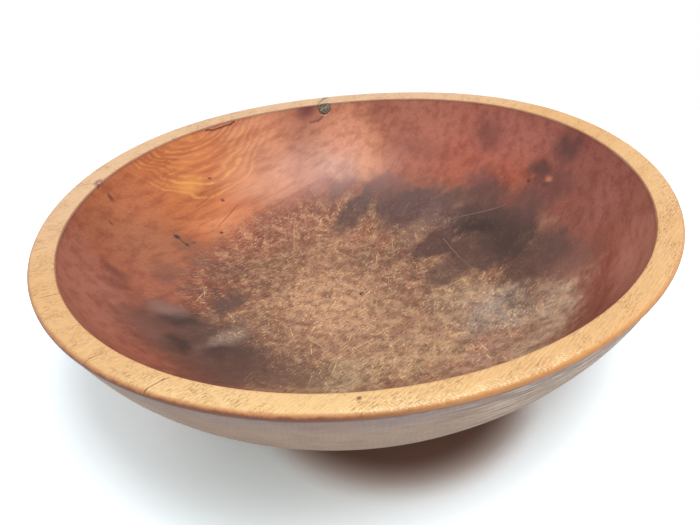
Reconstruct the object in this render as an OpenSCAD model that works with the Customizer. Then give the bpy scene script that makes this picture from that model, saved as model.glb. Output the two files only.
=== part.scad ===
// Dough bowl turned from one block of wood, with two encased branch knots.
// Millimetres. +X runs along the grain, +Z up, the foot stands on z = 0.

/* [Bowl] */
// Length over the rim, along the grain
bowl_l = 398; // [360:1:440]
// Width over the rim, across the grain, which shrinks more as the wood dries
bowl_w = 382; // [345:1:420]
// Height from the foot to the rim
bowl_h = 106; // [96:1:114]
// Radius of the round outer wall
wall_arc_r = 137.5; // [130:0.5:150]
// How far the wall's round would dip below the flat foot
foot_dip = 0.5; // [0.3:0.1:1.5]

/* [Rim] */
// Width of the rim
rim_w = 13.4; // [10:0.1:18]
// How far the rim slopes down towards the hollow
rim_dish = 2.3; // [1:0.1:3.5]
// Radius of the rolled lip on the rim's outer edge
lip_r = 2.4; // [1.6:0.1:3]
// How far the lip stands out over the wall
lip_step = 1.2; // [0.6:0.1:1.5]
// Broken edge on the inside of the rim
edge_break = 0.6; // [0.2:0.1:1]

/* [Hollow] */
// Radius of the round inside wall
well_arc_r = 128.5; // [122:0.5:132]
// Radius of the wide shallow floor
floor_arc_r = 800; // [700:20:820]
// Thickness at the middle of the floor
floor_t = 12.5; // [10:0.5:15]
// Height of the wall round's lowest point over the middle of the floor
floor_lift = 2.5; // [2.5:0.1:3]

/* [Knots] */
// Radius of the large knot at the inside of the wall
knot_r_in = 6.4; // [5:0.1:7]
// Radius of the large knot at the outside of the wall
knot_r_out = 5.2; // [3:0.1:7]
// Depth of the large knot's middle below the rim's inner edge
knot_drop = 3.8; // [3:0.1:6.5]
// Direction of the large knot from the middle of the bowl
knot_turn = 55; // [0:0.5:359]
// Radius of the pin knot
pin_r = 1.6; // [1.2:0.1:2.2]
// Depth of the pin knot's middle below the rim's inner edge
pin_drop = 1.1; // [0.6:0.1:1.2]
// Length of the pin knot, outwards from the inside of the rim
pin_l = 5; // [4:0.5:8]
// Direction of the pin knot from the middle of the bowl
pin_turn = 127.5; // [0:0.5:359]

/* [Hidden] */
fine = 180;
over = 4;
bowl_colour = [0.62, 0.33, 0.16];
knot_colour = [0.18, 0.11, 0.07];

// Mean radius over the rim, and the stretch along and across the grain
base_r = (bowl_l + bowl_w) / 4;
along_share = bowl_l / (2 * base_r);
across_share = bowl_w / (2 * base_r);

// Outer wall: one round, from under the lip to the foot
wall_top_z = bowl_h - 2 * lip_r;
wall_top_x = base_r - lip_step;
wall_c_z = wall_arc_r - foot_dip;
wall_c_x = wall_top_x - sqrt(pow(wall_arc_r, 2) - pow(wall_c_z - wall_top_z, 2));

// Inside: a round that passes the rim's inner edge and meets a wide shallow floor
rim_in_x = base_r - rim_w;
rim_in_z = bowl_h - rim_dish;
well_c_z = floor_t + floor_lift + well_arc_r;
well_c_x = rim_in_x - sqrt(pow(well_arc_r, 2) - pow(well_c_z - rim_in_z, 2));
floor_edge_x = well_c_x * floor_arc_r / (floor_arc_r - well_arc_r);

// Distance of each knot's inner end from the middle, in the direction that it points
function rim_reach(turn) = rim_in_x
  / sqrt(pow(cos(turn) / along_share, 2) + pow(sin(turn) / across_share, 2));
knot_x = rim_reach(knot_turn);
knot_reach = 3 * knot_r_in;
pin_x = rim_reach(pin_turn);

// Half section of the bowl's outside, from the axis out
module outside_section() {
  intersection() {
    translate([wall_c_x, wall_c_z])
      circle(r = wall_arc_r, $fn = 2 * fine);
    translate([wall_c_x, -over])
      square([base_r, bowl_h - lip_r + over]);
  }
  translate([0, -foot_dip])
    square([wall_c_x, bowl_h + foot_dip]);
  translate([0, bowl_h - lip_r])
    square([base_r - lip_r, lip_r]);
  translate([base_r - lip_r, bowl_h - lip_r])
    circle(r = lip_r, $fn = fine);
}

// Half section of the hollow and the rim's slope, open at the top
module hollow_section() {
  intersection() {
    translate([well_c_x, well_c_z])
      circle(r = well_arc_r, $fn = 2 * fine);
    translate([well_c_x, 0])
      square([base_r, bowl_h + over]);
  }
  intersection() {
    translate([0, floor_t + floor_arc_r])
      circle(r = floor_arc_r, $fn = 8 * fine);
    square([floor_edge_x, bowl_h + over]);
  }
  polygon([
    [rim_in_x, rim_in_z],
    [base_r - lip_r, bowl_h],
    [base_r - lip_r, bowl_h + over],
    [rim_in_x, bowl_h + over],
  ]);
  polygon([
    [rim_in_x - over, rim_in_z + over],
    [rim_in_x - over, rim_in_z - over],
    [rim_in_x - over + edge_break, rim_in_z - over],
    [rim_in_x + edge_break + over, rim_in_z + over],
  ]);
}

// The whole turned block, knots and all, with its flat foot
module turned_block() {
  difference() {
    scale([along_share, across_share, 1])
      rotate_extrude($fn = fine)
        difference() {
          outside_section();
          hollow_section();
        }
    translate([-bowl_l, -bowl_l, -2 * over])
      cube([2 * bowl_l, 2 * bowl_l, 2 * over]);
  }
}

// Room of the large knot, a branch that crosses the wall just under the rim
module knot_room() {
  rotate([0, 0, knot_turn])
    translate([knot_x - knot_reach, 0, rim_in_z - knot_drop])
      rotate([0, 90, 0])
        cylinder(h = rim_w + 2 * knot_reach, r1 = knot_r_in, r2 = knot_r_out, $fn = fine);
}

// Room of the pin knot, blind in the wall
module pin_room() {
  rotate([0, 0, pin_turn])
    translate([pin_x - over, 0, rim_in_z - pin_drop])
      rotate([0, 90, 0])
        cylinder(h = pin_l + over, r = pin_r, $fn = fine);
}

module bowl() {
  color(bowl_colour)
    difference() {
      turned_block();
      knot_room();
      pin_room();
    }
}

module rim_knot() {
  color(knot_colour)
    intersection() {
      turned_block();
      knot_room();
    }
}

module pin_knot() {
  color(knot_colour)
    intersection() {
      turned_block();
      pin_room();
    }
}

bowl();
rim_knot();
pin_knot();
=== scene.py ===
"""Turned dough bowl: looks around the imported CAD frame. Lengths in the tables are millimetres."""
from math import asin, cos, degrees, pi, radians, sin, sqrt

import bpy
import numpy as np
from mathutils import Matrix, Vector, noise


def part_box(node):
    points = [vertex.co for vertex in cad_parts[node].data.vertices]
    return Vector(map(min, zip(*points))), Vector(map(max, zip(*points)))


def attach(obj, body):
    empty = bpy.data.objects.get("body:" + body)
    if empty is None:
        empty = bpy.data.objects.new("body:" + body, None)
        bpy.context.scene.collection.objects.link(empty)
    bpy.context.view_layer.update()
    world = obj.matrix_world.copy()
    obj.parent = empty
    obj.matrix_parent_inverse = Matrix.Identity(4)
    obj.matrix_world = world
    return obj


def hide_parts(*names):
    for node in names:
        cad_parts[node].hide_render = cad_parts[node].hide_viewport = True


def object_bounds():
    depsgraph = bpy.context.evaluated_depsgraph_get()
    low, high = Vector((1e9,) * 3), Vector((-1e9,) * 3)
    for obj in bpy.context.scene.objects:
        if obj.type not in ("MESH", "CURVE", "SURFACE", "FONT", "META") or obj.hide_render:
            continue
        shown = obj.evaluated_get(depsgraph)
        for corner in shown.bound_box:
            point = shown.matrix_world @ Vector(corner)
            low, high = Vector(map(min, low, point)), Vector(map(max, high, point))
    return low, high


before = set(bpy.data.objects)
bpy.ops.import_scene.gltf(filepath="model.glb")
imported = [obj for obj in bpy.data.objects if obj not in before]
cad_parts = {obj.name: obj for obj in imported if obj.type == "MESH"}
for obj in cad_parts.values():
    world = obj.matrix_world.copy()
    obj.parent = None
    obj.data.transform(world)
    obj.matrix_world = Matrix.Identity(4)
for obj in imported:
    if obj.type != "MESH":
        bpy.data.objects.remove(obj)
cad_box = [[float(v) for v in corner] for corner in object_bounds()]

MM = 0.001
PER_M = 1000.0
LOW, HIGH = (Vector(c) * PER_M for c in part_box("bowl"))
LENGTH, WIDTH, HEIGHT = HIGH - LOW
BASE_R = (LENGTH + WIDTH) / 4
ALONG = LENGTH / (2 * BASE_R)
ACROSS = WIDTH / (2 * BASE_R)

# The turned section, as the part's source has it
RIM_W = 13.4
RIM_DISH = 2.3
LIP_R = 2.4
LIP_STEP = 1.2
FLOOR_T = 12.5
FLOOR_LIFT = 2.5
FLOOR_ARC = 800.0
WELL_ARC = 128.5
WALL_ARC = 137.5
FOOT_DIP = 0.5
RIM_IN = BASE_R - RIM_W
RIM_IN_Z = HEIGHT - RIM_DISH
WELL_Z = FLOOR_T + FLOOR_LIFT + WELL_ARC
WELL_X = RIM_IN - sqrt(WELL_ARC ** 2 - (WELL_Z - RIM_IN_Z) ** 2)
WALL_Z = WALL_ARC - FOOT_DIP
WALL_X = BASE_R - LIP_STEP - sqrt(WALL_ARC ** 2 - (WALL_Z - HEIGHT + 2 * LIP_R) ** 2)
LIP_X = BASE_R - LIP_R
LIP_Z = HEIGHT - LIP_R
FOOT_EDGE = WALL_X + sqrt(WALL_ARC ** 2 - WALL_Z ** 2)

# Broken inside edge of the rim: way out from the edge, and drop
EDGE_BREAK = ((-0.16, 0.85), (0.0, 0.50), (0.2, 0.22), (0.5, 0.05))

# Where the lip's roll ends on its underside, and the height at which the wall takes over
LIP_END = -radians(56.4)
UNDER_LIP_Z = 101.45

# Rings near the middle of the floor and on the foot: radius and count of points
FLOOR_RINGS = ((1.6, 45), (3.4, 45), (5.4, 45), (8.0, 90), (11.0, 90), (14.0, 90),
               (17.5, 180), (21.0, 180), (25.0, 180), (29.0, 180))
FLOOR_RINGS_END = 62.0
FOOT_RINGS = ((64, 360), (56, 360), (46, 360), (36, 180), (26, 180), (16, 90), (7, 45), (3, 45))

# Height over which the rings lie closer together, for the knots and the rim
FINE_Z = 92.0

# How the rim has warped while the wood dried: cosine and sine parts of 2, 3 and 4 waves
WARP_TURN = 44.0
WARP = ((2, 0.85, -0.12), (3, -0.43, 1.01), (4, -0.30, 0.04))
WARP_FROM = 70.0
WARP_POWER = 1.5

# Camera, fitted to the rim's outlines: place, forward, right and up
CAM_AT = (-232.426, -240.684, 264.649)
CAM_FORWARD = (0.564941, 0.610111, -0.555524)
CAM_RIGHT = (0.705467, -0.706339, -0.058321)
CAM_UP = (0.427971, 0.358956, 0.829453)
CAM_LENS = 28.8
CAM_SENSOR = 36.0

# Floor round the bowl, in metres: middles of its painted shadow's dark core and of its painted dim shadow,
# and where each tone ends
SHADOW_CORE_AT = (-0.038, -0.062)
SHADOW_CORE_REACH = (0.066, 0.095)
BOUNCE_TINT_REACH = (0.074, 0.099)
DIM_SHADOW_AT = (-0.135, -0.050)
DIM_SHADOW_REACH = (0.01, 0.09)
FAR_REACH = (0.30, 0.60)
FLOOR_HALF = 6.0

# Linear tones of the floor: for light, then for the camera, from the open floor in to the bowl's foot; the
# dim, bounce and core tones are painted shadow and painted brown bounce light
FLOOR_TONE = (0.8, 0.8, 0.8, 1)
OPEN_TONE = (1.52, 1.68, 1.77, 1)
DIM_SHADOW_TONE = (1.30, 1.47, 1.52, 1)
BOUNCE_TINT_TONE = (1.16, 1.06, 1.0, 1)
SHADOW_CORE_TONE = (0.25, 0.15, 0.115, 1)

# The one lamp: direction, rise, distance, size and power, and the point that it looks at
TOP_LAMP = (-92, 74, 1.0, (0.60, 0.60), 6.5)
LAMP_AIM = Vector((0, 0, 0.08))

# Knots: direction, middle's height, radius on the inside and outside
KNOT = {"turn": 55.0, "height": RIM_IN_Z - 3.8, "inside": 5.9, "outside": 5.5}
PIN = {"turn": 127.5, "height": RIM_IN_Z - 1.1, "radius": 1.6, "depth": 5.0}

# How far the wood stands back round the knots, and the height above which they lie
RECESS = 0.9
RECESS_FROM_Z = 88

# Skins of the bowl, by material slot, and their unevenness: mean, then depth and size of the dents
WELL, RIM, WALL = 0, 1, 2
DENTS = {
    WELL: (0.0, (0.22, 26), (0.10, 7)),
    RIM: (-0.05, (0.05, 12)),
    WALL: (-0.06, (0.12, 34), (0.04, 6)),
}

# Directions round which a ring's points stand closer together: middle, half width, fade, share more
DENSE_TURNS = ((-117, 24, 8, 2.2), (KNOT["turn"], 3, 2, 3.5), (PIN["turn"], 1.2, 1, 5))

# Chatter marks of the tool over the front of the lip
RIPPLE_GAP = 1.8
RIPPLE_SLANT = 0.9
RIPPLE_TURNS = (-121, 8, 9)
RIPPLE_DEPTH = 0.09


def rgb(r, g, b):
    """Linear colour from an 8 bit one."""
    out = []
    for v in (r, g, b):
        v = v / 255
        out.append(v / 12.92 if v <= 0.04045 else ((v + 0.055) / 1.055) ** 2.4)
    return (*out, 1.0)


def smooth(v):
    v = np.clip(v, 0, 1)
    return v * v * (3 - 2 * v)


def window(turn, middle, half, soft):
    """1 near a direction, 0 away from it, in degrees."""
    off = np.abs((np.asarray(turn) - middle + 180) % 360 - 180)
    return smooth((half + soft - off) / soft)


def warp_height(turn):
    """How far the rim stands over its mean height in a direction."""
    t = np.radians(np.asarray(turn) + WARP_TURN)
    return sum(c * np.cos(n * t) + s * np.sin(n * t) for n, c, s in WARP)


WARP_TOP = float(np.max(warp_height(np.arange(0, 360, 0.25))))


def warp(rho, turn):
    fade = np.clip((rho - WARP_FROM) / (BASE_R - WARP_FROM), 0, 1) ** WARP_POWER
    return (warp_height(turn) - WARP_TOP) * fade


def floor_height(rho):
    return FLOOR_T + FLOOR_ARC - sqrt(FLOOR_ARC ** 2 - rho ** 2)


def round_height(rho):
    return WELL_Z - sqrt(WELL_ARC ** 2 - (rho - WELL_X) ** 2)


# Where the wide shallow floor gives way to the wall's round
FLOOR_EDGE = next(rho for rho in np.arange(WELL_X, WELL_X + 20, 0.05)
                  if round_height(rho) <= floor_height(rho))


def well_height(rho):
    return floor_height(rho) if rho < FLOOR_EDGE else round_height(rho)


def well_radius(z):
    return WELL_X + sqrt(WELL_ARC ** 2 - (WELL_Z - z) ** 2)


def wall_radius(z):
    """Radius of the outside at a height, lip included."""
    wall = WALL_X + sqrt(WALL_ARC ** 2 - (WALL_Z - z) ** 2)
    reach = LIP_R ** 2 - (z - LIP_Z) ** 2
    return max(wall, LIP_X + sqrt(reach)) if reach > 0 else wall


def rim_height(rho):
    """The rim's slope, which levels off at the lip."""
    share = (rho - RIM_IN) / (LIP_X - RIM_IN)
    return RIM_IN_Z + RIM_DISH * (share + 0.12 * sin(pi * share) * share)


def arc_steps(start, end, step):
    count = max(2, int(round(abs(end - start) / step)))
    return np.linspace(start, end, count + 1)[1:]


def profile():
    """Rings from the middle of the floor over the rim to the middle of the foot."""
    rings = []

    def add(rho, z, count, skin):
        rings.append((float(rho), float(z), count, skin))

    for rho, count in FLOOR_RINGS:
        add(rho, well_height(rho), count, WELL)
    for rho in arc_steps(FLOOR_RINGS[-1][0], FLOOR_RINGS_END, 2.6):
        add(rho, well_height(rho), 360, WELL)
    add(FLOOR_EDGE, well_height(FLOOR_EDGE), 720, WELL)
    low, fine, top = (asin((rho - WELL_X) / WELL_ARC)
                      for rho in (FLOOR_EDGE, well_radius(FINE_Z), well_radius(RIM_IN_Z - 1.3)))
    for start, end, step, count in ((low, fine, 2.2, 720), (fine, top, 0.75, 1440)):
        for a in arc_steps(start, end, step / WELL_ARC):
            add(WELL_X + WELL_ARC * sin(a), WELL_Z - WELL_ARC * cos(a), count, WELL)

    for off, drop in EDGE_BREAK:
        add(RIM_IN + off, RIM_IN_Z - drop, 1440, RIM)
    for start, end, count in ((0.5, 5.2, 1440), (5.2, LIP_X - RIM_IN, 2880)):
        for rho in arc_steps(RIM_IN + start, RIM_IN + end, 0.75):
            add(rho, rim_height(rho), count, RIM)
    for a in arc_steps(pi / 2, LIP_END, 0.42 / LIP_R):
        add(LIP_X + LIP_R * cos(a), LIP_Z + LIP_R * sin(a), 2880, RIM)

    for z in arc_steps(UNDER_LIP_Z, FINE_Z, 0.9):
        add(wall_radius(z), z, 1440, WALL)
    upper = asin((WALL_Z - FINE_Z) / WALL_ARC)
    lower = asin(WALL_Z / WALL_ARC)
    for a in arc_steps(upper, lower - 0.01, 2.6 / WALL_ARC):
        add(WALL_X + WALL_ARC * cos(a), WALL_Z - WALL_ARC * sin(a), 720, WALL)
    add(FOOT_EDGE + 0.5, 0.16, 720, WALL)
    add(FOOT_EDGE - 0.3, 0.0, 720, WALL)
    for rho, count in FOOT_RINGS:
        add(rho, 0.0, count, WALL)
    return rings


def turn_table():
    """Directions by share of a ring, closer together at the lip's ripples and at the knots."""
    turn = np.linspace(-180, 180, 14401)
    weight = 1 + sum(more * window(turn, *zone) for *zone, more in DENSE_TURNS)
    share = np.concatenate(([0], np.cumsum((weight[1:] + weight[:-1]) / 2)))
    return share / share[-1], turn


SHARE, TURN = turn_table()


def ring_turns(count):
    return np.interp(np.arange(count) / count, SHARE, TURN)


def place(rho, turn, z):
    """Points of the warped, stretched bowl, in millimetres."""
    a = np.radians(turn)
    return np.stack([ALONG * rho * np.cos(a), ACROSS * rho * np.sin(a), z + warp(rho, turn)], -1)


def knot_recess(rho, turn, z, inside):
    """How far the wood stands back round the knots."""
    if z < RECESS_FROM_Z or z > (RIM_IN_Z if inside else HEIGHT) - 0.2:
        return 0 * turn
    radius = KNOT["inside"] if inside else KNOT["outside"]
    across = np.radians(turn - KNOT["turn"]) * rho
    r = np.hypot(across, z - KNOT["height"])
    back = RECESS * smooth((radius + 0.5 - r) / 0.5)
    if inside:
        across = np.radians(turn - PIN["turn"]) * rho
        r = np.hypot(across, z - PIN["height"])
        back = back + RECESS * smooth((PIN["radius"] + 0.35 - r) / 0.35)
    return back


def ripple(along, turn):
    """Tool chatter that crosses the front of the lip and the outer rim: how deep it cuts, up to 1."""
    run = np.radians(turn) * BASE_R
    phase = 2 * np.pi * (run - RIPPLE_SLANT * (along - 8)) / RIPPLE_GAP
    depth = 0.5 + 0.5 * np.cos(phase + 0.9 * np.sin(run / 9.0) + 0.5 * np.sin(run / 2.3))
    inner = 9.6 + 0.9 * np.sin(run / 5.7) + 0.8 * np.sin(run / 2.9)
    patch = window(turn, *RIPPLE_TURNS) * smooth((along - inner) / 1.2) * smooth((14.2 - along) / 1.8)
    strength = 0.55 + 0.45 * np.sin(run / 4.3 + 1.3) * np.sin(run / 1.9)
    return patch * strength * depth ** 1.5


def dents(skin, points):
    """How far the skin stands out at each point."""
    mean, *waves = DENTS[skin]
    return [sum((depth * noise.noise(Vector(p) / size) for depth, size in waves), mean) for p in points]


def bowl_points(rings):
    """Every ring's points, moved in and out by dents, recesses and ripples."""
    flat = np.array([[r[0], r[1]] for r in rings])
    tangent = np.gradient(flat, axis=0)
    tangent /= np.linalg.norm(tangent, axis=1)[:, None]
    outward = np.stack([-tangent[:, 1], tangent[:, 0]], -1)
    step = np.concatenate(([0], np.cumsum(np.linalg.norm(np.diff(flat, axis=0), axis=1))))
    rim_start = next(i for i, r in enumerate(rings) if r[3] == RIM)
    along = step - step[rim_start]
    points, runs, cuts = [], [], []
    for k, (rho, z, count, skin) in enumerate(rings):
        turn = ring_turns(count)
        base = place(rho, turn, z)
        push = np.zeros(count)
        if skin == WELL and rho > 8:
            push += dents(skin, base)
            push -= knot_recess(rho, turn, z, True)
        elif skin == RIM:
            push += dents(skin, base)
            push -= RIPPLE_DEPTH * ripple(along[k], turn)
            if rho > LIP_X:
                push -= knot_recess(rho, turn, z, False)
        elif skin == WALL and z > 1:
            push += dents(skin, base)
            push -= knot_recess(rho, turn, z, False)
        move_r, move_z = outward[k]
        points.append(place(rho + push * move_r, turn, z + push * move_z))
        runs.append(np.full(count, along[k]))
        cuts.append(ripple(along[k], turn))
    return points, runs, cuts


def stitch(lower, lower_count, upper, upper_count, skin, faces, skins):
    """Faces between two rings, one of which may have twice the other's points."""
    count = min(lower_count, upper_count)
    if max(lower_count, upper_count) not in (count, 2 * count):
        raise ValueError(f"rings of {lower_count} and {upper_count} points do not join")
    for i in range(count):
        j = (i + 1) % count
        if lower_count == upper_count:
            added = [(lower + i, lower + j, upper + j, upper + i)]
        elif upper_count > lower_count:
            a, b, c = (upper + (2 * i + k) % upper_count for k in range(3))
            added = [(lower + i, b, a), (lower + i, lower + j, b), (lower + j, c, b)]
        else:
            a, b, c = (lower + (2 * i + k) % lower_count for k in range(3))
            added = [(a, b, upper + i), (b, upper + j, upper + i), (b, c, upper + j)]
        faces.extend(added)
        skins.extend([skin] * len(added))


def cap(ring, count, middle, up, skin, faces, skins):
    """A fan that closes a ring."""
    for i in range(count):
        j = (i + 1) % count
        faces.append((middle, ring + i, ring + j) if up else (middle, ring + j, ring + i))
        skins.append(skin)


def new_piece(name, verts, faces, materials, skins=None):
    mesh = bpy.data.meshes.new(name)
    mesh.from_pydata([tuple(v) for v in verts], [], faces)
    for m in materials:
        mesh.materials.append(m)
    if skins is not None:
        mesh.polygons.foreach_set("material_index", skins)
    mesh.polygons.foreach_set("use_smooth", [True] * len(mesh.polygons))
    mesh.validate()
    mesh.update()
    piece = bpy.data.objects.new(name, mesh)
    bpy.context.scene.collection.objects.link(piece)
    return piece


def inside_box(points):
    """Points kept within the CAD model's box, in metres."""
    low = np.array(cad_box[0])
    high = np.array(cad_box[1])
    return np.clip(points * MM, low, high)


def bowl_piece(materials):
    rings = profile()
    points, runs, cuts = bowl_points(rings)
    starts = np.concatenate(([0], np.cumsum([len(p) for p in points])))
    floor_mid = np.array([[0, 0, FLOOR_T]])
    foot_mid = np.array([[0, 0, 0.0]])
    verts = inside_box(np.concatenate(points + [floor_mid, foot_mid]))
    faces, skins = [], []
    total = int(starts[-1])
    cap(0, rings[0][2], total, True, WELL, faces, skins)
    for k in range(len(rings) - 1):
        skin = rings[k + 1][3]
        stitch(int(starts[k]), rings[k][2], int(starts[k + 1]), rings[k + 1][2], skin, faces, skins)
    cap(int(starts[-2]), rings[-1][2], total + 1, False, WALL, faces, skins)
    piece = new_piece("bowl_wood", verts, faces, materials, skins)
    for name, values in (("profile_mm", runs), ("ripple", cuts)):
        ends = np.array([values[0][0], values[-1][0]])
        layer = piece.data.attributes.new(name, "FLOAT", "POINT")
        layer.data.foreach_set("value", np.concatenate(values + [ends]).astype(np.float32))
    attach(piece, "root")
    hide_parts("bowl")
    return piece


def knot_surface(rho, turn, z, lift):
    """One point of a knot, lift further from the axis than the wall's surface."""
    return place(rho + lift, np.array([turn]), z)[0]


def plug_faces(rings, segments):
    """Faces of a closed plug: two discs, each its rings and then its middle, and the side."""
    faces = []
    half = rings * segments + 1
    for side, start in enumerate((0, half)):
        middle = start + rings * segments
        for i in range(segments):
            j = (i + 1) % segments
            tri = (middle, start + i, start + j)
            faces.append(tri if side else tri[::-1])
            for k in range(rings - 1):
                low, up = start + k * segments, start + (k + 1) * segments
                quad = (low + i, up + i, up + j, low + j)
                faces.append(quad if side else quad[::-1])
    inner_edge = (rings - 1) * segments
    outer_edge = half + inner_edge
    for i in range(segments):
        j = (i + 1) % segments
        faces.append((inner_edge + i, inner_edge + j, outer_edge + j, outer_edge + i))
    return faces


def knot_piece(name, rings, segments, point, middles, material):
    """A closed plug of two discs: point(which disc, share of the radius, angle) gives their points."""
    verts = []
    for disc, middle in enumerate(middles):
        for k in range(1, rings + 1):
            verts += [point(disc, k / rings, 2 * pi * i / segments) for i in range(segments)]
        verts.append(middle)
    return new_piece(name, inside_box(np.array(verts)), plug_faces(rings, segments), [material])


def rim_knot_point(outside, share, a):
    """A point of the large knot's faces: rough round the edge, split, and sunken where it meets the wood."""
    inside = 1 - outside
    x, y = cos(a), sin(a)
    rough = 0.25 * noise.noise(Vector((x * 1.4, y * 1.4, 5 + inside)))
    r = ((KNOT["inside"] if inside else KNOT["outside"]) - 0.3) * share * (1 + rough * share * 0.4)
    z = min(KNOT["height"] + r * y, (RIM_IN_Z if inside else HEIGHT) - 0.35)
    rho = well_radius(z) if inside else wall_radius(z)
    grain = noise.noise(Vector((x * 3, y * 3, share * 5)))
    split = -0.45 * max(0, 1 - abs(sin(1.5 * a + 0.4)) * 6 * share) * share
    dome = 0.12 - 0.5 * share ** 8 + 0.16 * grain + split
    turn = KNOT["turn"] + degrees(r * x / rho)
    return knot_surface(rho, turn, z, -dome if inside else dome - 0.25)


def pin_knot_point(deep, share, a):
    """A point of the pin knot: its face in the inside edge of the rim, or its blind end."""
    x, y = cos(a), sin(a)
    r = (PIN["radius"] - 0.15) * share
    z = min(PIN["height"] + r * y, RIM_IN_Z - 0.3)
    rho = well_radius(min(z, RIM_IN_Z - 0.9)) + max(0, z - RIM_IN_Z + 0.9)
    bump = 0.1 * noise.noise(Vector((x * 2, y * 2, share * 3)))
    lift = PIN["depth"] * 0.5 if deep else 0.15 + bump + 0.3 * share ** 6
    return knot_surface(rho, PIN["turn"] + degrees(r * x / rho), z, lift)


def rim_knot_piece(material):
    """The branch's stub: one plug through the wall, its two faces worn with the wall's."""
    turn, z = KNOT["turn"], KNOT["height"]
    middles = (knot_surface(well_radius(z), turn, z, -0.1), knot_surface(wall_radius(z), turn, z, -0.15))
    piece = knot_piece("rim_knot_wood", 12, 72, rim_knot_point, middles, material)
    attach(piece, "root")
    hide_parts("rim_knot")
    return piece


def pin_knot_piece(material):
    """The pin knot: a small plug in the inside edge of the rim."""
    middles = [knot_surface(well_radius(PIN["height"]), PIN["turn"], PIN["height"], lift)
               for lift in (0.2, PIN["depth"] * 0.5)]
    piece = knot_piece("pin_knot_wood", 6, 40, pin_knot_point, middles, material)
    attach(piece, "root")
    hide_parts("pin_knot")
    return piece


class Nodes:
    """A short way to write a node tree."""

    def __init__(self, tree):
        self.tree = tree

    def add(self, kind, **props):
        node = self.tree.nodes.new(kind)
        for key, value in props.items():
            setattr(node, key, value)
        return node

    def put(self, socket, value):
        if isinstance(value, bpy.types.NodeSocket):
            self.tree.links.new(value, socket)
        elif value is not None:
            socket.default_value = value

    def math(self, operation, a, b=None, c=None, clamp=False):
        node = self.add("ShaderNodeMath", operation=operation, use_clamp=clamp)
        for socket, value in zip(node.inputs, (a, b, c)):
            self.put(socket, value)
        return node.outputs[0]

    def times(self, value, *others):
        for other in others:
            value = self.math("MULTIPLY", value, other)
        return value

    def scale_add(self, value, scale, added):
        return self.math("MULTIPLY_ADD", value, scale, added)

    def vector(self, operation, a, b=None, c=None, scale=None):
        node = self.add("ShaderNodeVectorMath", operation=operation)
        for socket, value in zip(node.inputs, (a, b, c)):
            self.put(socket, value)
        if scale is not None:
            self.put(node.inputs["Scale"], scale)
        return node.outputs["Value" if operation in ("LENGTH", "DISTANCE", "DOT_PRODUCT") else "Vector"]

    def scaled(self, vector, scale):
        return self.vector("MULTIPLY", vector, scale)

    def moved(self, vector, way):
        return self.vector("ADD", vector, way)

    def split(self, vector):
        node = self.add("ShaderNodeSeparateXYZ")
        self.put(node.inputs[0], vector)
        return node.outputs[0], node.outputs[1], node.outputs[2]

    def join(self, x, y, z):
        node = self.add("ShaderNodeCombineXYZ")
        for socket, value in zip(node.inputs, (x, y, z)):
            self.put(socket, value)
        return node.outputs[0]

    def noise(self, vector, size, detail=2, rough=0.5, colour=False):
        """Noise whose lumps measure about size, in the vector's unit."""
        node = self.add("ShaderNodeTexNoise")
        self.put(node.inputs["Vector"], vector)
        node.inputs["Scale"].default_value = 1 / size
        node.inputs["Detail"].default_value = detail
        node.inputs["Roughness"].default_value = rough
        return node.outputs["Color" if colour else "Fac"]

    def span(self, value, low, high, to_low=0, to_high=1):
        """A smooth step from one value to another, as the input goes from low to high."""
        node = self.add("ShaderNodeMapRange", interpolation_type="SMOOTHSTEP")
        for key, v in zip(("Value", "From Min", "From Max", "To Min", "To Max"),
                          (value, low, high, to_low, to_high)):
            self.put(node.inputs[key], v)
        return node.outputs["Result"]

    def mix(self, share, a, b, blend="MIX"):
        node = self.add("ShaderNodeMix", data_type="RGBA", blend_type=blend)
        self.put(node.inputs["Factor"], share)
        self.put(node.inputs[6], a)
        self.put(node.inputs[7], b)
        return node.outputs[2]

    def tint(self, colour, share, strength, *tone):
        """The colour, turned towards an 8 bit tone by a share of the strength."""
        return self.mix(self.times(share, strength), colour, rgb(*tone))

    def wash(self, colour, value, low, high, strength, *tone):
        """The colour, turned towards an 8 bit tone as a value goes from low to high."""
        return self.mix(self.span(value, low, high, 0, strength), colour, rgb(*tone))

    def sway(self, vector, size, reach):
        """The vector, moved about by noise."""
        shift = self.vector("SUBTRACT", self.noise(vector, size, 2, colour=True), (0.5, 0.5, 0.5))
        return self.moved(vector, self.scaled(shift, (2 * reach, 2 * reach, 0)))

    def blot(self, vector, middle, half, turn=0, soft=0.5, fray=None):
        """1 inside an oval of the plan, fading to 0 across its edge, which fray makes uneven."""
        if turn:
            c, s = cos(radians(turn)), sin(radians(turn))
            reach = 0
            for (x, y), size in (((c, s), half[0]), ((-s, c), half[1])):
                off = self.vector("DOT_PRODUCT", vector, (x / size, y / size, 0))
                off = self.math("SUBTRACT", off, (x * middle[0] + y * middle[1]) / size)
                reach = self.scale_add(off, off, reach)
            reach = self.math("SQRT", reach)
        else:
            size = (1 / half[0], 1 / half[1], 0)
            shift = (-middle[0] / half[0], -middle[1] / half[1], 0)
            reach = self.vector("LENGTH", self.vector("MULTIPLY_ADD", vector, size, shift))
        if fray is not None:
            reach = self.math("ADD", reach, fray)
        return self.span(reach, 1 + soft, 1 - soft)

    def stroke(self, vector, start, end, width, soft=0.6):
        """1 on a line between two points of the plan."""
        reach = (end[0] - start[0], end[1] - start[1], 0)
        size = reach[0] ** 2 + reach[1] ** 2
        off = self.vector("SUBTRACT", vector, (start[0], start[1], 0))
        share = self.math("DIVIDE", self.vector("DOT_PRODUCT", off, reach), size, clamp=True)
        foot = self.add("ShaderNodeVectorMath", operation="SCALE")
        foot.inputs[0].default_value = reach
        self.put(foot.inputs["Scale"], share)
        gap = self.vector("DISTANCE", off, foot.outputs[0])
        return self.span(gap, width * 0.5 * (1 + soft), width * 0.5 * (1 - soft))

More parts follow.
